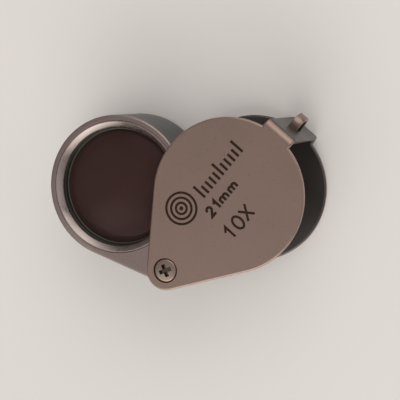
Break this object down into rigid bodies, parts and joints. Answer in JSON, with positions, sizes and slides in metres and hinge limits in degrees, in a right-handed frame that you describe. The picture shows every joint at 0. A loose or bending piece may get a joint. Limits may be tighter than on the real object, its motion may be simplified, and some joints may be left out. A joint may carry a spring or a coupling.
{
  "type": "folding hand lens",
  "caption": "Folding hand lens: a triplet magnifier in a teardrop metal holder that swings out of a U-bent sheet-steel cover about one pivot screw; a strip loop on the bridge takes a lanyard.",
  "frame": {"origin": "centre of the cover's round end, on the outer face of its back plate, which the lens lies on", "axes": "+X from the pivot towards the bridge along the cover, +Y across it, +Z from the back plate to the front plate, along the optical axis and the pivot"},
  "size_m": [0.0422, 0.0418, 0.0182],
  "materials": {
    "satin_steel": "satin, fine scratches",
    "loop_steel": "polished strip",
    "screw_steel": "turned",
    "post_steel": "turned",
    "bushing_bronze": "turned",
    "washer_brass": "stamped",
    "spring_steel": "stamped",
    "nylon": "moulded",
    "holder_metal": "satin",
    "bezel_metal": "bright turned",
    "black_anodised": "black anodised, matt",
    "flint_glass": "polished, coated",
    "crown_glass": "polished"
  },
  "bodies": {
    "cover_body": {"cover": "satin_steel", "lanyard_loop": "loop_steel", "pivot_screw": "screw_steel", "pivot_post": "post_steel", "front_washer": "washer_brass", "spring_washer": "spring_steel", "back_washer": "nylon"},
    "lens_body": {"lens_holder": "holder_metal", "pivot_bushing": "bushing_bronze", "front_bezel_ring": "bezel_metal", "rear_bezel_ring": "bezel_metal", "front_stop_ring": "black_anodised", "rear_stop_ring": "black_anodised", "front_flint_lens": "flint_glass", "crown_lens": "crown_glass", "rear_flint_lens": "flint_glass"}
  },
  "joints": [
    {"name": "lens_fold", "type": "hinge", "parent": "cover_body", "child": "lens_body", "pos_m": [-0.0169, 0, 0.009], "axis": [0, 0, 1], "continuous": true}
  ]
}
